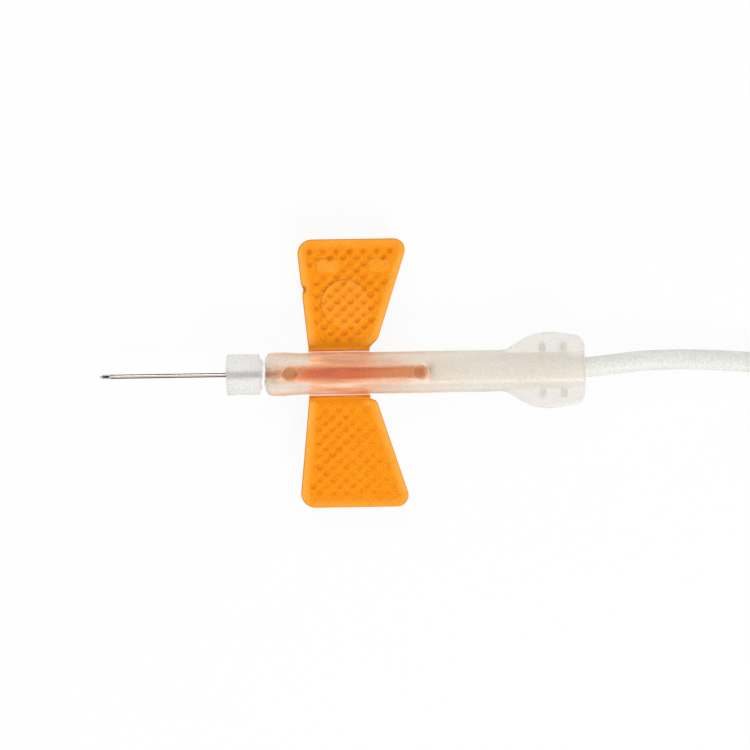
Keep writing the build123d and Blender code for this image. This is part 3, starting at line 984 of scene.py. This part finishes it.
@dataclass
class Wing:
    """A folding finger wing: smooth rim, dimpled field, and marks on the right one.

    Sizes are in millimetres, and leans in degrees. A place is an X and a Y, and a pad an X and
    a height.
    """

    side: Side
    plastic: bpy.types.Material
    span: float = 15.8
    half: float = 0.4
    lead_lean: float = 5.8
    trail_lean: float = 18.0
    shoulder_out: float = 1.0
    left_shoulder_out: float = 0.3
    shoulder_back: float = 1.0
    shoulder_round: float = 1.4
    left_shoulder_round: float = 0.7
    trail_round: float = 1.35
    lead_round: float = 1.7
    edge_round: float = 0.16
    rim_width: float = 0.95
    rim_slope: Span = (0.4, 0.35)
    rim_height: float = 0.07
    underside_sink: float = 0.05
    pitch_x: float = 1.58
    pitch_y: float = 1.48
    first_dimple: Span = (-2.76, 3.45)
    dimple_rows: tuple[int, int] = (-2, 22)
    dimple_columns: tuple[int, int] = (-8, 9)
    dimple_radius: float = 0.5
    dimple_depth: float = 0.13
    dimple_gap: float = 0.3
    root_gap: float = 0.7
    left_share: float = 0.78
    left_fade: float = 0.4
    nick: Span = (-4.55, 9.9)
    nick_depth: float = 0.2
    nick_width: float = 0.42
    disc: Span = (0.5, 8.2)
    disc_edge: Span = (2.68, 2.84)
    disc_height: float = 0.06
    crest_radius: float = 2.72
    crest_height: float = 0.05
    crest_width: float = 0.1
    pads: tuple[Span, ...] = ((-1.5, 0.1), (4.55, 0.06))
    pad_y: float = 12.7
    pad_half: Span = (1.3, 0.78)
    pad_room: Span = (1.5, 1.0)
    columns: int = 124
    row_step: float = 0.105
    root_rows: int = 9
    tip_rows: int = 34
    edge_columns: tuple[float, ...] = (0.0, 0.012, 0.035, 0.07, 0.115, 0.17, 0.24, 0.33)
    plain_width: float = 4.0

    def outline(self) -> np.ndarray:
        """Draws the wing's plan.

        Returns:
            Its points, anticlockwise from its leading root corner.
        """
        out, corner = self.shoulder_out, self.shoulder_round
        if self.side is Side.LEFT:
            out, corner = self.left_shoulder_out, self.left_shoulder_round
        slope = math.tan(math.radians(self.trail_lean))
        shoulder_x = WEB_REAR_X + self.shoulder_back - (self.shoulder_out - out) * slope
        shoulder_y = HINGE_Y + out
        lead_x = WEB_X - (self.span - HINGE_Y) * math.tan(math.radians(self.lead_lean))
        trail_x = shoulder_x + (self.span - shoulder_y) * slope
        corners = [
            (WEB_X, HINGE_Y, 0),
            (WEB_REAR_X, HINGE_Y, 0),
            (shoulder_x, shoulder_y, corner),
            (trail_x, self.span, self.trail_round),
            (lead_x, self.span, self.lead_round),
        ]
        return rounded(corners, 4.0)

    def rows(self) -> np.ndarray:
        """Gives the places of the grid's rows.

        Returns:
            Their Y, closer at the root and the tip.
        """
        quarter = math.pi / 2
        root = [HINGE_Y - self.half * math.cos(a) for a in np.linspace(0, quarter, self.root_rows)]
        corner = self.lead_round
        tip = [self.span - corner * (1 - math.sin(a)) for a in np.linspace(0, quarter, self.tip_rows)]
        last = self.span - corner - self.row_step / 2
        return np.array([*root, *np.arange(HINGE_Y + self.row_step, last, self.row_step), *tip])

    def grid(self) -> tuple[np.ndarray, np.ndarray]:
        """Lays a grid over the plan, closer at its edges.

        Returns:
            The X and the Y of its points.
        """
        outline = self.outline()
        tip_y = self.span - 1e-9
        top = int(np.argmax(outline[:, 1] >= tip_y))
        trail = outline[1 : top + 1]
        lead = np.concatenate([outline[top:][outline[top:, 1] >= HINGE_Y], outline[:1]])[::-1]
        lead = lead[np.argsort(lead[:, 1], kind="stable")]
        tip_lead = lead[lead[:, 1] >= tip_y]
        lead = np.concatenate([lead[lead[:, 1] < tip_y], tip_lead[[tip_lead[:, 0].argmin()]]])
        rows = self.rows()
        left = np.interp(rows, lead[:, 1], lead[:, 0])
        right = np.interp(rows, trail[:, 1], trail[:, 0])
        if self.side is Side.RIGHT:
            left = left + self.nick_depth * np.exp(-(((rows - self.nick[1]) / self.nick_width) ** 2))
        close = np.array(self.edge_columns)
        inner = np.linspace(0, 1, self.columns - 2 * len(close) + 2)[1:-1]
        x = []
        for a, b in zip(left, right):
            ends = close * min(1.0, (b - a) / self.plain_width)
            middle = a + ends[-1] + inner * (b - a - 2 * ends[-1])
            x.append(np.concatenate([a + ends, middle, (b - ends)[::-1]]))
        return np.array(x), np.repeat(rows[:, None], self.columns, axis=1)

    def from_edge(self, x: np.ndarray, y: np.ndarray) -> np.ndarray:
        """Measures how far points lie from the plan's edge, the root apart.

        Args:
            x: The points' X.
            y: The points' Y.

        Returns:
            The distances.
        """
        chain = np.roll(self.outline(), -1, axis=0)
        nearest = np.full(x.shape, np.inf)
        for a, b in zip(chain[:-1], chain[1:]):
            run = b - a
            share = ((x - a[0]) * run[0] + (y - a[1]) * run[1]) / float(run @ run)
            share = np.clip(share, 0, 1)
            gap = np.hypot(x - a[0] - share * run[0], y - a[1] - share * run[1])
            nearest = np.minimum(nearest, gap)
        return nearest

    @staticmethod
    def soft(value: np.ndarray, low: float, high: float) -> np.ndarray:
        """Gives a smooth step from 0 at low to 1 at high."""
        share = np.clip((value - low) / (high - low), 0, 1)
        return share * share * (3 - 2 * share)

    def marks(self, x: np.ndarray, y: np.ndarray) -> np.ndarray:
        """Raises the disc, its thin crest and the two plain oval pads.

        Args:
            x: The points' X.
            y: The points' Y.

        Returns:
            The height of the marks.
        """
        away = np.hypot(x - self.disc[0], y - self.disc[1])
        height = self.disc_height * (1 - self.soft(away, *self.disc_edge))
        height += self.crest_height * np.exp(-(((away - self.crest_radius) / self.crest_width) ** 2))
        for centre, rise in self.pads:
            along = np.abs((x - centre) / self.pad_half[0]) ** 3
            oval = along + np.abs((y - self.pad_y) / self.pad_half[1]) ** 3
            height += rise * (1 - self.soft(oval, 0.75, 1.25))
        return height

    def on_pad(self, x: float, y: float) -> bool:
        """Tells whether a dimple would lie on one of the pads."""
        near = any(abs(x - centre) < self.pad_room[0] for centre, _ in self.pads)
        return self.side is Side.RIGHT and near and abs(y - self.pad_y) < self.pad_room[1]

    def dimples(self, x: np.ndarray, y: np.ndarray, inside: np.ndarray) -> np.ndarray:
        """Sinks the staggered dimples, each a little different.

        Args:
            x: The points' X.
            y: The points' Y.
            inside: How far the points lie from the plan's edge.

        Returns:
            The depth of the dimples.
        """
        shades = random.Random(11 if self.side is Side.RIGHT else 23)
        depth = np.zeros(x.shape)
        for row, column in product(range(*self.dimple_rows), range(*self.dimple_columns)):
            cx = self.first_dimple[0] + column * self.pitch_x + (row % 2) * self.pitch_x / 2
            cy = self.first_dimple[1] + row * self.pitch_y / 2
            radius = self.dimple_radius * shades.uniform(0.9, 1.08)
            deep = self.dimple_depth * shades.uniform(0.6, 1.2)
            away = np.hypot(x - cx, y - cy)
            at = np.unravel_index(np.argmin(away), x.shape)
            if away[at] > radius or self.on_pad(cx, cy):
                continue
            if inside[at] < self.rim_width + self.dimple_gap or cy < HINGE_Y + self.root_gap:
                continue
            depth = np.maximum(depth, deep * (1 - self.soft(away, radius * 0.25, radius)))
        if self.side is Side.LEFT:
            depth = depth * (self.left_share - self.left_fade * self.soft(x, -4.0, 6.0))
        return depth

    def crescents(self, x: np.ndarray, y: np.ndarray, inside: np.ndarray) -> np.ndarray:
        """Finds the dimples' lower slopes, where the finish paints their shade.

        Args:
            x: The points' X.
            y: The points' Y.
            inside: How far the points lie from the plan's edge.

        Returns:
            How far each point lies on such a slope, from 0 to 1.
        """
        shift = self.side.value * self.dimple_radius * 0.5
        rise = self.dimples(x + 0.08, y + shift, inside) - self.dimples(x, y, inside)
        return np.clip(rise / self.dimple_depth, 0, 1)

    def darkened_marks(self, x: np.ndarray, y: np.ndarray) -> np.ndarray:
        """Darkens round the nick, and paints shade along the upper left of the disc's edge.

        Args:
            x: The points' X.
            y: The points' Y.

        Returns:
            The weight of the outline.
        """
        away = np.hypot(x - self.nick[0], y - self.nick[1])
        nick = 2.2 * (1 - self.soft(away, 0.25, 0.75))
        across, up = x - self.disc[0], y - self.disc[1]
        off_edge = np.hypot(across, up) - self.disc_edge[1]
        ring = np.exp(-((off_edge / self.crest_width) ** 2))
        return np.maximum(nick, 0.8 * ring * self.soft(up - 0.6 * across, -1.2, 0.8))

    def store(self, mesh: bpy.types.Mesh) -> None:
        """Stores where the finish paints highlight on the rim and the raised marks, shade along the outline and in
        the hollows, and light on the root.

        Args:
            mesh: The wing's mesh.
        """
        places = np.empty(len(mesh.vertices) * 3)
        mesh.vertices.foreach_get("co", places)
        x, y, z = places.reshape(-1, 3).T / MM
        y = np.abs(y)
        inside = self.from_edge(x, y)
        on_top = self.soft(z, AXIS_Z, AXIS_Z + 0.1)
        out = self.soft(y, HINGE_Y, HINGE_Y + 0.6)
        # Painted shade: the dimples' depth, and more on their lower slopes.
        hollow = 0.25 * self.dimples(x, y, inside) / self.dimple_depth + self.crescents(x, y, inside)
        # Painted shade along the edge of the plan.
        outline = 1 - self.soft(inside, 0.02, 0.16)
        raised = np.zeros(x.shape)
        if self.side is Side.RIGHT:
            # Painted highlight on the raised marks.
            raised = np.clip(self.marks(x, y) / 0.1, 0, 1)
            # Painted shade along the disc's edge, and darkening round the nick.
            outline = np.maximum(outline, self.darkened_marks(x, y))
        # Painted highlight along the rim, weaker towards the tip.
        rim = (1 - self.soft(inside, 0.2, 1.3)) * (1 - 0.45 * self.soft(y, 14.2, 15.2))
        values = {
            "rim": rim * out,
            # Painted light on the hinge strip, beside the sleeve.
            "root": 1 - self.soft(y, HINGE_Y - 0.05, HINGE_Y + 0.1),
            "outline": outline * out,
            "raised": raised * on_top,
            "hollow": np.clip(hollow, 0, 1) * on_top,
        }
        for name, value in values.items():
            layer = mesh.attributes.new(name, "FLOAT", "POINT")
            layer.data.foreach_set("value", value.astype(np.float32))

    def heights(self, x: np.ndarray, y: np.ndarray) -> tuple[np.ndarray, np.ndarray]:
        """Works out both faces over the grid.

        Args:
            x: The grid's X.
            y: The grid's Y.

        Returns:
            The height of the upper and of the lower face over the wing's middle.
        """
        inside = self.from_edge(x, y)
        root = np.clip((HINGE_Y - y) / self.half, 0, 1)
        half = self.half * np.sqrt(np.clip(1 - root * root, 0, 1))
        step = np.clip(1 - inside / self.edge_round, 0, 1)
        drop = np.where(y > HINGE_Y, self.edge_round * (1 - np.sqrt(np.clip(1 - step * step, 0, 1))), 0)
        field = self.soft(inside, self.rim_width - self.rim_slope[0], self.rim_width + self.rim_slope[1])
        field *= self.soft(y, HINGE_Y - self.half, HINGE_Y)
        top = half - drop - self.rim_height * field
        if self.side is Side.RIGHT:
            top = top + self.marks(x, y) * field
        top = top - self.dimples(x, y, inside) * field
        return top, -half + drop + self.underside_sink * field

    def build(self) -> bpy.types.Object:
        """Builds the wing: a grid over its plan for each face, joined round the edge.

        Returns:
            The wing.
        """
        x, y = self.grid()
        rows, columns = x.shape
        y_out = self.side.value * y
        faces_z = (AXIS_Z + height for height in self.heights(x, y))
        points = np.concatenate([np.stack([x, y_out, z], axis=-1).reshape(-1, 3) for z in faces_z])
        below = rows * columns
        faces = []
        for r, c in product(range(rows - 1), range(columns - 1)):
            a, b = r * columns + c, (r + 1) * columns + c
            faces.append((a, a + 1, b + 1, b))
            faces.append((below + a, below + b, below + b + 1, below + a + 1))
        rim = list(range(columns))
        rim += [r * columns + columns - 1 for r in range(1, rows)]
        rim += [(rows - 1) * columns + c for c in range(columns - 2, -1, -1)]
        rim += [r * columns for r in range(rows - 2, 0, -1)]
        for a, b in zip(rim, rim[1:] + rim[:1]):
            faces.append((a, below + a, below + b, b))
        name = "wing_" + self.side.name.lower()
        wing = shown(name + "_dimpled", mesh_of(name, points, faces), 60.0)
        self.store(wing.data)
        wing.data.materials.append(self.plastic)
        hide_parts(name)
        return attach(wing, name)


@dataclass
class Sleeve:
    """The sliding guard's slotted sleeve with its flared finger grip.

    Sizes are in millimetres. The front's spans hold an X behind the sleeve's front, and the
    grip's corners an X from its rear, a Y and a radius.
    """

    plastic: bpy.types.Material
    # ring: the latch windows' edges, a painted highlight
    ring: bpy.types.Material
    pane: bpy.types.Material
    # pocket: painted shade in the grip's pockets
    pocket: bpy.types.Material
    radius: float = 2.5
    front_radius: float = 2.6
    front_round: float = 0.85
    front_taper: tuple[Span, ...] = ((2.1, 2.6), (3.1, 2.55), (4.2, 2.5))
    rear_round: float = 0.3
    bore: float = 1.95
    front_bore: float = 1.5
    front_bore_end: Span = (5.0, 5.8)
    exit_radius: float = 1.5
    rear_wall: float = 1.9
    past: float = 1.0
    grip_corners: tuple[Point, ...] = (
        (-12.5, -1.7, 0.0),
        (-10.5, -1.7, 3.0),
        (-5.6, -4.78, 6.5),
        (0.0, -3.95, 1.5),
    )
    grip_half: float = 1.3
    grip_round: float = 0.5
    slot_half: float = 0.5
    slot_end: float = 18.98
    slot_reach: float = 6.0
    latch_x: float = -6.1
    travel: float = 15.4
    latch_hole: float = 1.0
    hole_lean: float = 0.1
    hole_foot: float = 0.05
    hole_top: float = 4.0
    track_half: float = 0.87
    track_top: float = 2.15
    skin: float = 0.1
    pocket_half: Span = (0.4, 0.52)
    pocket_round: float = 0.28
    pocket_depth: float = 0.3
    pocket_pitch: float = 2.5
    pocket_y: float = 2.72

    def shell(self) -> bpy.types.Object:
        """Makes the sleeve's outer form before anything is cut from it.

        Returns:
            The form.
        """
        front = (SLEEVE_X + self.front_round, self.front_radius - self.front_round)
        rear = (SLEEVE_REAR_X - self.rear_round, self.radius - self.rear_round)
        outline = [(SLEEVE_X, 0.0)]
        outline += arc(front, self.front_round, 180, 90, 12)
        outline += [(SLEEVE_X + x, radius) for x, radius in self.front_taper]
        outline += arc(rear, self.rear_round, 90, 0, 6)
        outline += [(SLEEVE_REAR_X, 0.0)]
        shell = shown("sleeve_shell", lathe("sleeve_shell", outline))
        shell.data.materials.append(self.plastic)
        return shell

    def grip(self) -> bpy.types.Object:
        """Makes the flared grip, its edges rounded.

        Returns:
            The form.
        """
        half = [(SLEEVE_REAR_X + x, y, radius) for x, y, radius in self.grip_corners]
        other = [(x, -y, radius) for x, y, radius in reversed(half)]
        outline = rounded(half + other, 5.0)
        levels = [(math.radians(a), -1) for a in range(90, -1, -15)]
        levels += [(math.radians(a), 1) for a in range(0, 91, 15)]
        loops = []
        for angle, side in levels:
            z = side * (self.grip_half - self.grip_round * (1 - math.sin(angle)))
            ring = inset(outline, self.grip_round * (1 - math.cos(angle)))
            loops.append([(x, y, AXIS_Z + z) for x, y in ring])
        return shown("grip_form", stack("grip_form", loops))

    def bore_form(self) -> bpy.types.Object:
        """Makes the form of the hollow inside.

        Returns:
            The form.
        """
        wall = SLEEVE_REAR_X - self.rear_wall
        outline = [
            (SLEEVE_X - self.past, 0.0),
            (SLEEVE_X - self.past, self.front_bore),
            (SLEEVE_X + self.front_bore_end[0], self.front_bore),
            (SLEEVE_X + self.front_bore_end[1], self.bore),
            (wall, self.bore),
            (wall, self.exit_radius),
            (SLEEVE_REAR_X + self.past, self.exit_radius),
            (SLEEVE_REAR_X + self.past, 0.0),
        ]
        return shown("bore_form", lathe("bore_form", outline))

    def slot_form(self) -> bpy.types.Object:
        """Makes the form of the two side slots, open at the front and round at the end.

        Returns:
            The form.
        """
        side = [(SLEEVE_X - self.past, -self.slot_half)]
        side += arc((self.slot_end - self.slot_half, 0.0), self.slot_half, -90, 90, 12)
        side += [(SLEEVE_X - self.past, self.slot_half)]
        loops = [[(x, y, AXIS_Z + z) for x, z in side] for y in (-self.slot_reach, self.slot_reach)]
        return shown("slot_form", stack("slot_form", loops))

    def hole_form(self, x: float) -> bpy.types.Object:
        """Makes the form of a round latch window, whose slanted edge is whiter than its pane, as a painted
        highlight.

        Args:
            x: Where it lies.

        Returns:
            The form.
        """
        levels = [
            (self.track_top + self.skin, self.latch_hole - self.hole_lean),
            (self.radius + self.hole_foot, self.latch_hole),
            (self.hole_top, self.latch_hole + 2 * self.hole_lean),
        ]
        loops = []
        for z, radius in levels:
            loops.append([(px, py, AXIS_Z + z) for px, py in arc((x, 0.0), radius, 0, 352.5, 47)])
        form = shown("hole_form", stack("hole_form", loops))

        def pane(centre: Vector, normal: Vector) -> int:
            """Picks the second finish for the flat pane."""
            return int(abs(normal.z) > 0.9)

        paint(form.data, [self.ring, self.pane], pane)
        return form

    def pocket_form(self, x: float, y: float, z: float) -> bpy.types.Object:
        """Makes the form of a shallow rounded pocket of the grip.

        Args:
            x: The X of its middle.
            y: The Y of its middle.
            z: The height of the face that it sinks into.

        Returns:
            The form.
        """
        half_x, half_y = self.pocket_half
        turns = ((-1, -1), (1, -1), (1, 1), (-1, 1))
        plan = rounded([(x + a * half_x, y + b * half_y, self.pocket_round) for a, b in turns], 15.0)
        levels = (z - self.pocket_depth, z + self.pocket_depth)
        loops = [[(px, py, level) for px, py in plan] for level in levels]
        form = shown("pocket_form", stack("pocket_form", loops))
        form.data.materials.append(self.pocket)
        return form

    def build(self) -> bpy.types.Object:
        """Builds the sleeve: joins the grip, and cuts the bore, the slots, the track and the holes.

        Returns:
            The sleeve.
        """
        sleeve = self.shell()
        cut(sleeve, self.grip(), "UNION")
        cut(sleeve, self.bore_form())
        cut(sleeve, self.slot_form())
        low = (SLEEVE_X - self.past, -self.track_half, AXIS_Z)
        high = (self.latch_x + self.travel + self.latch_hole, self.track_half, AXIS_Z + self.track_top)
        cut(sleeve, block("track_form", low, high))
        for x in (self.latch_x, self.latch_x + self.travel):
            cut(sleeve, self.hole_form(x))
        for row, side, face in product((1, 2), (-1, 1), (-1, 1)):
            x = SLEEVE_REAR_X - row * self.pocket_pitch
            cut(sleeve, self.pocket_form(x, side * self.pocket_y, AXIS_Z + face * self.grip_half))
        mesh = sleeve.data
        bpy.data.objects.remove(sleeve)
        sleeve = shown("guard_sleeve_clear", mesh, 32.0)
        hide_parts("guard_sleeve")
        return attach(sleeve, "guard")


@dataclass
class Nose:
    """The sliding guard's nose cap, with its neck, its plug and its stepped bore.

    Sizes are in millimetres. The mouth's points are an X behind the nose's front and a radius.
    """

    plastic: bpy.types.Material
    # edge: the neck band's painted highlight
    edge: bpy.types.Material
    plug: bpy.types.Material
    length: float = 3.9
    radius: float = 2.4
    front_round: float = 0.3
    rear_round: float = 0.15
    neck_radius: float = 1.8
    neck_fillet: float = 0.12
    band_length: float = 0.35
    band_radius: float = 1.5
    chamfer: float = 0.05
    plug_length: float = 1.5
    plug_radius: float = 1.46
    plug_bore: float = 1.07
    plug_floor: float = 0.6
    bore: float = 0.45
    mouth: tuple[Span, ...] = ((0.25, 0.45), (0.1, 0.52), (0.0, 0.7))

    def outline(self) -> Loop:
        """Draws the nose's outline.

        Returns:
            Its (x, radius) points, round a closed loop.
        """
        fillet = self.neck_fillet
        rear = NOSE_X + self.length
        band_x = SLEEVE_X - self.band_length
        plug_x = SLEEVE_X + self.plug_length
        front = (NOSE_X + self.front_round, self.radius - self.front_round)
        outline = arc(front, self.front_round, 180, 90, 8)
        outline += arc((rear - self.rear_round, self.radius - self.rear_round), self.rear_round, 90, 0, 5)
        outline += arc((rear + fillet, self.neck_radius + fillet), fillet, 180, 270, 4)
        outline += [
            (band_x - self.chamfer, self.neck_radius),
            (band_x, self.band_radius),
            (SLEEVE_X, self.band_radius),
            (SLEEVE_X + self.chamfer, self.plug_radius),
            (plug_x, self.plug_radius),
            (plug_x, self.plug_bore),
            (SLEEVE_X, self.plug_bore),
            (SLEEVE_X - self.plug_floor, self.bore),
        ]
        return outline + [(NOSE_X + x, radius) for x, radius in self.mouth]

    def build(self) -> bpy.types.Object:
        """Builds the nose.

        Returns:
            The nose.
        """
        nose = shown("guard_nose_clear", lathe("guard_nose_clear", self.outline()), 32.0)
        band_x = SLEEVE_X - self.band_length
        skin = self.band_radius - 0.1

        def neck(centre: Vector, normal: Vector) -> int:
            """Picks the second finish, a painted highlight, for the bright band of the neck, and the third for the
            plug.
            """
            if centre.x > SLEEVE_X:
                return 2
            return int(math.hypot(centre.y, centre.z - AXIS_Z) > skin and centre.x > band_x)

        paint(nose.data, [self.plastic, self.edge, self.plug], neck)
        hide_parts("guard_nose")
        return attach(nose, "guard")


@dataclass
class SoftTube:
    """The tube from the hub, its coil and its tail to the connector, on one line."""

    plastic: bpy.types.Material
    diameter: float = 2.36
    length: float = 0.297
    centre: Span = (62.9, -15.2)
    entry: float = 78.0
    turned: float = 1068.0
    per_turn: int = 16

    def coil(self) -> list[Point]:
        """Lays the coil: an outer and an inner turn on the floor, and one on top of them.

        Returns:
            Its points.
        """
        step = 360 / self.per_turn
        fair = 1 / math.cos(math.radians(step / 2))
        radius_at = [0, 285, 345, 640, 690, 735, 810, 985, 1050, self.turned]
        radius = [13.01, 13.01, 10.59, 10.55, 10.6, 10.85, 11.8, 11.8, 12.95, 13.4]
        height_at = [0, 620, 680, 740, 820, 970, 1050, self.turned]
        height = [1.2, 1.2, 3.45, 3.62, 3.3, 3.3, 3.6, 3.62]
        points = []
        for k in range(int(self.turned / step) + 1):
            here = k * step
            r = float(np.interp(here, radius_at, radius)) * fair
            z = float(np.interp(here, height_at, height))
            angle = math.radians(self.entry - here)
            points.append((self.centre[0] + r * math.cos(angle), self.centre[1] + r * math.sin(angle), z))
        return points

    def route(self) -> list[Point]:
        """Lays the whole line.

        Returns:
            Its control points.
        """
        lead = [
            (HUB_REAR_X, 0.0, AXIS_Z),
            (20.0, 0.0, AXIS_Z),
            (28.4, 0.12, 2.58),
            (36.4, 1.12, 2.25),
            (45.0, 0.86, 1.62),
            (51.5, 0.25, 1.22),
            (58.5, -0.75, 1.2),
        ]
        tail = [(71.6, -3.4, 3.4), (76.3, -7.9, 3.32), (79.0, -13.9, 3.32)]
        return lead + self.coil() + tail

    def line(self) -> bpy.types.Object:
        """Draws the round curve along the route.

        Returns:
            The curve.
        """
        curve = bpy.data.curves.new("soft_tube", "CURVE")
        curve.dimensions = "3D"
        spline = curve.splines.new("NURBS")
        points = self.route()
        spline.points.add(len(points) - 1)
        for point, place in zip(spline.points, points):
            point.co = (*(value * MM for value in place), 1.0)
        spline.order_u = 3
        spline.use_endpoint_u = True
        spline.resolution_u = 10
        curve.bevel_depth = self.diameter / 2 * MM
        curve.bevel_resolution = 7
        curve.use_fill_caps = True
        return linked("soft_tube", curve)

    def build(self) -> bpy.types.Object:
        """Builds the tube as one line from the hub to the connector.

        Returns:
            The tube.
        """
        tube = self.line()
        tube.data.materials.append(self.plastic)
        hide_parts("tube", "tube_coil", "tube_tail")
        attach(tube, "hub")
        self.diameter * MM
        return tube


@dataclass(frozen=True)
class Lamp:
    """A soft area lamp: its place and size in millimetres, and its power in watts."""

    name: str
    place: Point
    size: Span
    power: float

    def build(self, aim: Vector) -> None:
        """Hangs the lamp.

        Args:
            aim: The place that it looks at, in metres.
        """
        data = bpy.data.lights.new(self.name, "AREA")
        data.shape = "RECTANGLE"
        data.size = self.size[0] * MM
        data.size_y = self.size[1] * MM
        data.energy = self.power
        lamp = linked(self.name, data)
        lamp.location = Vector(self.place) * MM
        lamp.rotation_mode = "QUATERNION"
        lamp.rotation_quaternion = (aim - lamp.location).to_track_quat("-Z", "Y")


@dataclass
class Studio:
    """The floor, the light and the camera. Lengths are in millimetres, and the roll in degrees."""

    view_width: float = 88.35
    distance: float = 600.0
    centre: Span = (3.89, -0.27)
    roll: float = -0.9
    white: float = 1.0
    sky: float = 0.4
    floor_reach: float = 900.0
    floor_glow: float = 0.93
    floor_tones: tuple[Colour, Colour] = ((0.9, 0.9, 0.9), (0.86, 0.86, 0.86))
    lamps: tuple[Lamp, ...] = (
        Lamp("key", (170.0, -360.0, 250.0), (260.0, 120.0), 1.82),
        Lamp("fill", (-80.0, 330.0, 300.0), (420.0, 140.0), 0.92),
    )

    @staticmethod
    def seen(graph: Graph) -> Sock:
        """Finds the rays that show the background: camera, glossy and transmission rays.

        Args:
            graph: The graph of the floor or the world.

        Returns:
            1 for such a ray, and 0 for any other.
        """
        path = graph.node("LightPath", output="Is Camera Ray")
        both = graph.math("MAXIMUM", path, path.output("Is Glossy Ray"))
        return graph.math("MAXIMUM", both, path.output("Is Transmission Ray"))

    def floor(self) -> None:
        """Lays the pale floor, which keeps a faint shadow."""
        material, graph = new_graph("pale_floor")
        tone = graph.mix(graph.noise(graph.place(), 60.0, detail=3.0), *self.floor_tones)
        plain = graph.node("BsdfDiffuse", sockets={"Color": tone})
        glow = graph.node("Emission", sockets={"Color": WHITE, "Strength": self.white})
        weight = self.seen(graph) * self.floor_glow
        graph.surface(graph.node("MixShader", sockets={0: weight, 1: plain, 2: glow}))
        reach = self.floor_reach * MM
        corners = [(-reach, -reach, 0.0), (reach, -reach, 0.0), (reach, reach, 0.0), (-reach, reach, 0.0)]
        mesh = bpy.data.meshes.new("floor")
        mesh.from_pydata(corners, [], [(0, 1, 2, 3)])
        mesh.materials.append(material)
        linked("floor", mesh)

    def world(self) -> None:
        """Sets the pale surroundings."""
        world = bpy.data.worlds.new("pale_world")
        graph = Graph(world)
        light = graph.node("Background", sockets={"Color": WHITE, "Strength": self.sky})
        backdrop = graph.node("Background", sockets={"Color": WHITE, "Strength": self.white})
        shader = graph.node("MixShader", sockets={0: self.seen(graph), 1: light, 2: backdrop})
        graph.node("OutputWorld", sockets={"Surface": shader})
        bpy.context.scene.world = world

    def camera(self) -> None:
        """Sets the camera straight above, at the photograph's width and roll."""
        data = bpy.data.cameras.new("camera")
        data.sensor_width = 36.0
        data.lens = data.sensor_width * self.distance / self.view_width
        data.clip_start = 0.01
        data.clip_end = 10.0
        camera = linked("camera", data)
        camera.location = Vector((*self.centre, AXIS_Z + self.distance)) * MM
        camera.rotation_euler = Euler((0.0, 0.0, math.radians(self.roll)))
        bpy.context.scene.camera = camera

    def build(self) -> None:
        """Sets up the whole studio."""
        self.floor()
        self.world()
        for lamp in self.lamps:
            lamp.build(Vector((*self.centre, 0.0)) * MM)
        self.camera()
        bpy.context.scene.view_settings.view_transform = "Standard"


def dress(node: str, material: bpy.types.Material) -> None:
    """Gives a kept CAD node its material.

    Args:
        node: The node's name.
        material: Its new material.
    """
    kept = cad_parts[node]
    kept.data.materials.clear()
    kept.data.materials.append(material)
    LOG.info("kept %s", node)


def main() -> None:
    """Builds every piece, dresses it and reports it."""
    logging.basicConfig(level=logging.INFO, format="%(message)s")
    orange = WingPlastic().build()
    milky = GuardPlastic("guard_plastic").build()
    pieces = [
        Needle(NeedleSteel().build(), BORE_SHADE_STEEL.build()).build(),
        Wing(Side.RIGHT, orange).build(),
        Wing(Side.LEFT, orange).build(),
        Sleeve(milky, RING_HIGHLIGHT_PLASTIC.build(), PANE_PLASTIC.build(), POCKET_SHADE_PLASTIC.build()).build(),
        Nose(NOSE_PLASTIC.build(), NECK_HIGHLIGHT_PLASTIC.build(), PLUG_PLASTIC.build()).build(),
        SoftTube(TUBE_PLASTIC.build()).build(),
    ]
    for piece in pieces:
        LOG.info("built %s", piece.name)
    dress("wing_hub", HubPlastic().build())
    dress("luer_connector", CONNECTOR_PLASTIC.build())
    Studio().build()


if __name__ == "__main__":
    main()
